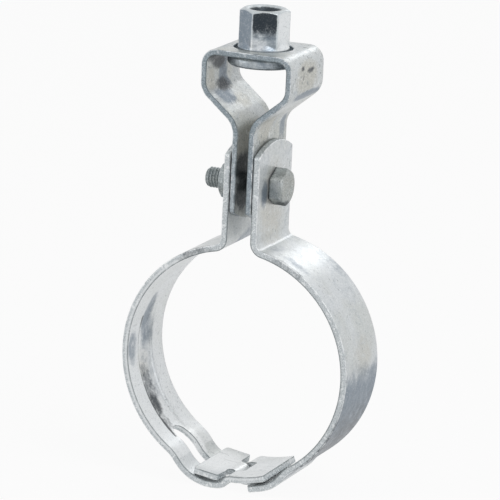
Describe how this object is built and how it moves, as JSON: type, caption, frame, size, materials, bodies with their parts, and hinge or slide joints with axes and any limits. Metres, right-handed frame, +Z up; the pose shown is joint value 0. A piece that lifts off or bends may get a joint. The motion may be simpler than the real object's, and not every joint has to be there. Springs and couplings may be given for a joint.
{
  "type": "pipe support",
  "caption": "Hook-together band clamp that hangs a pipe from a threaded rod by a folded yoke and a swivel nut.",
  "frame": {"origin": "centre of the pipe that the band grips, halfway along the band's width", "axes": "+Z up the hanging rod, +Y along the pipe, +X across the pipe towards the bolt's head"},
  "size_m": [0.0951, 0.032, 0.1872],
  "materials": {
    "band_zinc": "hot-dip galvanised steel, satin, mottled light grey",
    "yoke_zinc": "hot-dip galvanised steel, satin, mottled light grey",
    "nut_zinc": "hot-dip galvanised steel, satin, mottled light grey",
    "fastener_zinc": "galvanised steel, grainy mid grey"
  },
  "bodies": {
    "rod_nut": {"swivel_nut": "nut_zinc"},
    "hanger_yoke": {"yoke": "yoke_zinc"},
    "pipe_clamp": {"left_band": "band_zinc", "right_band": "band_zinc", "clamp_bolt": "fastener_zinc", "clamp_nut": "fastener_zinc"}
  },
  "joints": [
    {"name": "nut_swivel", "type": "hinge", "parent": "rod_nut", "child": "hanger_yoke", "pos_m": [0, 0, 0.1218], "axis": [0, 0, 1], "continuous": true},
    {"name": "clamp_swing", "type": "hinge", "parent": "hanger_yoke", "child": "pipe_clamp", "pos_m": [0, 0, 0.0685], "axis": [1, 0, 0], "range_deg": [-90, 90]}
  ]
}
